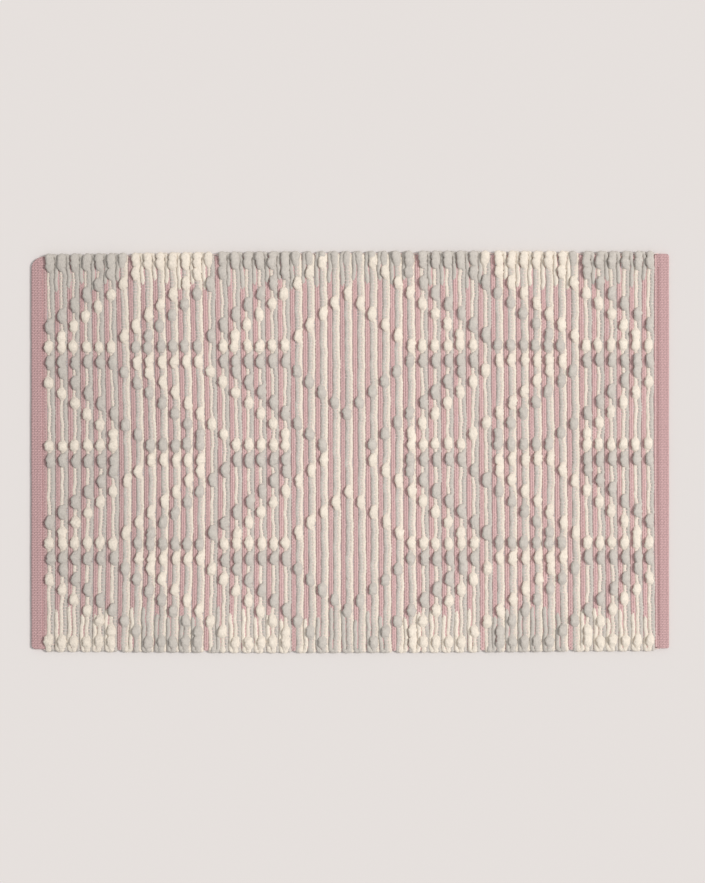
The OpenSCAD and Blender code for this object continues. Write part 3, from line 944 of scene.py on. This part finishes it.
def plain_weave():
    """Over and under, from two sines that cross: where their product is positive a warp
    end is on top and the height is the sine across it, elsewhere a pick is. Vector is
    the place on the cloth, in millimetres along and across the folded section. Where
    the height is low the colour is darker, painted shade in the weave's hollows, and a
    noise mottles it; Shade sets how strong both are."""
    group, given, made = new_group(
        "plain_weave",
        {"Vector": "Vector", "Tone": "Float", "Colour": "Color", "Pick": "Float",
         "End": "Float", "Shade": "Float", "Depth": "Float"},
        {"Colour": "Color", "Normal": "Vector"},
    )
    place = add_node(group, "SeparateXYZ", {0: given["Vector"]}).outputs
    waves = []
    for along, width in ((place[0], given["Pick"]), (place[1], given["End"])):
        count = add_node(group, "Math", {0: along, 1: width}, operation="DIVIDE").outputs[0]
        turn = add_node(group, "Math", {0: count, 1: math.pi}, operation="MULTIPLY").outputs[0]
        waves.append(add_node(group, "Math", {0: turn}, operation="SINE").outputs[0])
    product = add_node(group, "Math", {0: waves[0], 1: waves[1]}, operation="MULTIPLY").outputs[0]
    end_up = add_node(group, "Math", {0: product, 1: 0.0}, operation="GREATER_THAN").outputs[0]
    pick_h = add_node(group, "Math", {0: waves[0]}, operation="ABSOLUTE").outputs[0]
    end_h = add_node(group, "Math", {0: waves[1]}, operation="ABSOLUTE").outputs[0]
    more = add_node(group, "Math", {0: end_h, 1: pick_h}, operation="SUBTRACT").outputs[0]
    feeds = {0: more, 1: end_up, 2: pick_h}
    height = add_node(group, "Math", feeds, operation="MULTIPLY_ADD").outputs[0]
    feeds = {"Vector": given["Vector"], "Scale": CLOTH_CLOUD, "Detail": 3.0}
    noise = add_node(group, "TexNoise", feeds).outputs[0]
    # The colour follows the weave's height, so its hollows get painted shade, and the noise adds a
    # mottle.
    both = add_node(group, "Math", {0: height, 1: noise}, operation="ADD").outputs[0]
    even = add_node(group, "Math", {0: both, 1: WEAVE_MEAN}, operation="SUBTRACT").outputs[0]
    base = add_node(group, "Math", {0: given["Tone"], 1: 1.0}, operation="ADD").outputs[0]
    feeds = {0: even, 1: given["Shade"], 2: base}
    level = add_node(group, "Math", feeds, operation="MULTIPLY_ADD").outputs[0]
    tint = {0: given["Colour"], "Scale": level}
    tinted = add_node(group, "VectorMath", tint, operation="SCALE").outputs[0]
    bump = add_node(group, "Bump", {"Strength": 1.0, "Distance": given["Depth"], "Height": height})
    group.links.new(tinted, made["Colour"])
    group.links.new(bump.outputs[0], made["Normal"])
    return group


PLAIN_WEAVE = plain_weave()
HEM_PICK, HEM_END = 1.9, WARP_PITCH
HEM_SHEEN = 0.15


def woven_cotton(name, colour, shade, depth):
    """Matt hem cloth: the plain weave under a soft sheen. depth is in millimetres."""
    paint = bpy.data.materials.new(name)
    paint.use_nodes = True
    tree = paint.node_tree
    place = add_node(tree, "Attribute", attribute_name="fibre").outputs["Vector"]
    tone = add_node(tree, "Attribute", attribute_name="tone").outputs["Fac"]
    look = {"Vector": place, "Tone": tone, "Colour": colour, "Pick": HEM_PICK, "End": HEM_END,
            "Shade": shade, "Depth": depth * MM}
    weave = add_node(tree, "Group", look, node_tree=PLAIN_WEAVE)
    shader = tree.nodes["Principled BSDF"]
    tree.links.new(weave.outputs["Colour"], shader.inputs["Base Color"])
    tree.links.new(weave.outputs["Normal"], shader.inputs["Normal"])
    shader.inputs["Roughness"].default_value = COTTON_ROUGH
    shader.inputs["Specular IOR Level"].default_value = COTTON_GLOSS
    shader.inputs["Sheen Weight"].default_value = HEM_SHEEN
    shader.inputs["Sheen Roughness"].default_value = SHEEN_ROUGH
    return paint


HEM_PAINT = woven_cotton("hem_cloth", linear(209, 171, 171), shade=0.55, depth=0.6)

# %% Fold a hem
CORNER_R = {(-1, 1): 16.0, (-1, -1): 6.0, (1, 1): 4.0, (1, -1): 3.0}
PUCKER, FOLD_DRIFT = 0.3, 0.35
HEM_TONE = {-1: -0.02, 1: -0.05}


def hem_half(distance, radius):
    """Half the hem's length this far from its fold: quarter circles round the corners."""
    inside = np.clip(1 - distance / radius, 0, 1)
    return HEM_HALF - radius * (1 - np.sqrt(1 - inside**2))


def shell_faces(points, rows):
    """Faces of a shell whose section is a closed loop of points, the outer face and then
    the inner one backwards, carried along rows; the ends are closed wall by wall."""
    loop, row = np.meshgrid(np.arange(points), np.arange(rows - 1), indexing="ij")
    here, after = loop * rows + row, (loop + 1) % points * rows + row
    sides = np.stack([here, after, after + 1, here + 1], axis=-1).reshape(-1, 4)
    outer = np.arange(points // 2 - 1)
    inner = points - 1 - outer
    wall = np.stack([outer, outer + 1, inner - 1, inner], axis=-1) * rows
    return np.concatenate([sides, wall[:, ::-1], wall + rows - 1])


def build_hem(name, side, slot):
    """The section's outer and inner face, carried along the hem with rounded ends. side
    is -1 for the left hem and 1 for the right one, which is its mirror image. Between
    the holes of the stitching the cloth dips a little more, and the fold drifts."""
    inner_x, inner_z = inner_face(section_x, section_z)
    distance = np.concatenate([section_x, inner_x[::-1]])
    height = np.concatenate([section_z, inner_z[::-1]])
    run = np.concatenate([[0], np.cumsum(np.hypot(np.diff(section_x), np.diff(section_z)))])
    rows = round(2 * HEM_HALF / HEM_STEP_Y) + 1
    share = np.linspace(-1, 1, rows)
    y = [hem_half(distance, CORNER_R[side, end])[:, None] * share for end in (-1, 1)]
    y = np.where(share < 0, *y)
    z = np.broadcast_to(height[:, None], y.shape).copy()
    on_face = np.arange(len(distance)) < len(section_x)
    facing = np.where(distance > HEM_T / 2, np.sign(HEM_T / 2 - height), 0) * on_face
    between = 0.5 + 0.5 * np.cos(math.tau * y / STITCH_L)
    z += (facing * PUCKER * hump(distance, HEM_L - STITCH_EDGE, GROOVE_W))[:, None] * between
    x = side * (HALF_L - distance)[:, None] + np.zeros_like(y)
    to_fold = (1 - np.clip(distance / HEM_L, 0, 1))[:, None]
    x += side * (-FOLD_DRIFT * drift(y[0]) * to_fold)
    points = np.stack([x, y, z], axis=-1)
    run_round = np.concatenate([run, run[::-1]])[:, None]
    fibres = np.stack([run_round + np.zeros_like(y), y, np.zeros_like(y)], axis=-1)
    quads = shell_faces(len(distance), rows)
    outwards = quads if side < 0 else quads[:, ::-1]
    gathered = Gathered()
    gathered.add(points, fibres, HEM_TONE[side], outwards, np.zeros((0, 3), int))
    return gathered.piece(f"{name}_cloth", HEM_PAINT, slot, name)


HEM_NAME = {-1: "hem_left", 1: "hem_right"}
hems = {side: build_hem(name, side, "pink_cotton") for side, name in HEM_NAME.items()}

# %% [markdown]
# ## The hem's stitching
# A hem like this is sewn on a machine, with two threads: the needle thread lies on top
# and the bobbin thread underneath, and they lock inside the cloth at every stitch. A
# texture could show the stitches, but two real threads also hold the two layers of the
# cloth together when the mat is seen from the side or from below.

# %% Needle and bobbin threads
THREAD_R, THREAD_CLEAR = 0.3, 0.05
THREAD_SIDES, THREAD_TWIST = 5, 1.5
SEAM_DRIFT = 0.15
NEAR_EDGE = slice(-9, None)
SEAM_TOP = float(np.interp(HEM_L - STITCH_EDGE, section_x[NEAR_EDGE], section_z[NEAR_EDGE]))
STITCH_OUT = 0.18
STITCH_PHASES = np.array([0.0, 0.07, STITCH_OUT, 0.4, 0.6, 1 - STITCH_OUT, 0.93])
LOCK_GAP = 0.25


def sew(side, name, upper):
    """A path of stitches: at phase 0 the thread is in its hole, where it meets the other
    one, and between the holes it lies in the groove of its face."""
    phase = np.append(np.tile(STITCH_PHASES, STITCHES), 0.0)
    stitch = np.append(np.repeat(np.arange(STITCHES), len(STITCH_PHASES)), STITCHES)
    y = (stitch - STITCHES / 2 + phase) * STITCH_L
    out = np.clip(np.minimum(phase, 1 - phase) / STITCH_OUT, 0, 1) ** 0.5
    lock = SEAM_TOP / 2 + (LOCK_GAP if upper else -LOCK_GAP)
    face = SEAM_TOP + THREAD_R if upper else THREAD_R + THREAD_CLEAR
    z = lock + (face - lock) * out
    x = side * (HALF_L - HEM_L + STITCH_EDGE) + SEAM_DRIFT * drift(y)
    path = np.stack([x, y, z], axis=-1)
    gathered = Gathered()
    add_tubes(gathered, path[None], THREAD_R, THREAD_R, THREAD_R, THREAD_SIDES, THREAD_TWIST, 0.0, 0.0)
    return gathered.piece(f"{name}_stitches", THREAD_PAINT, "sewing_thread", name)


for side, name in HEM_NAME.items():
    needle = sew(side, f"{name}_needle_thread", True)
    bobbin = sew(side, f"{name}_bobbin_thread", False)
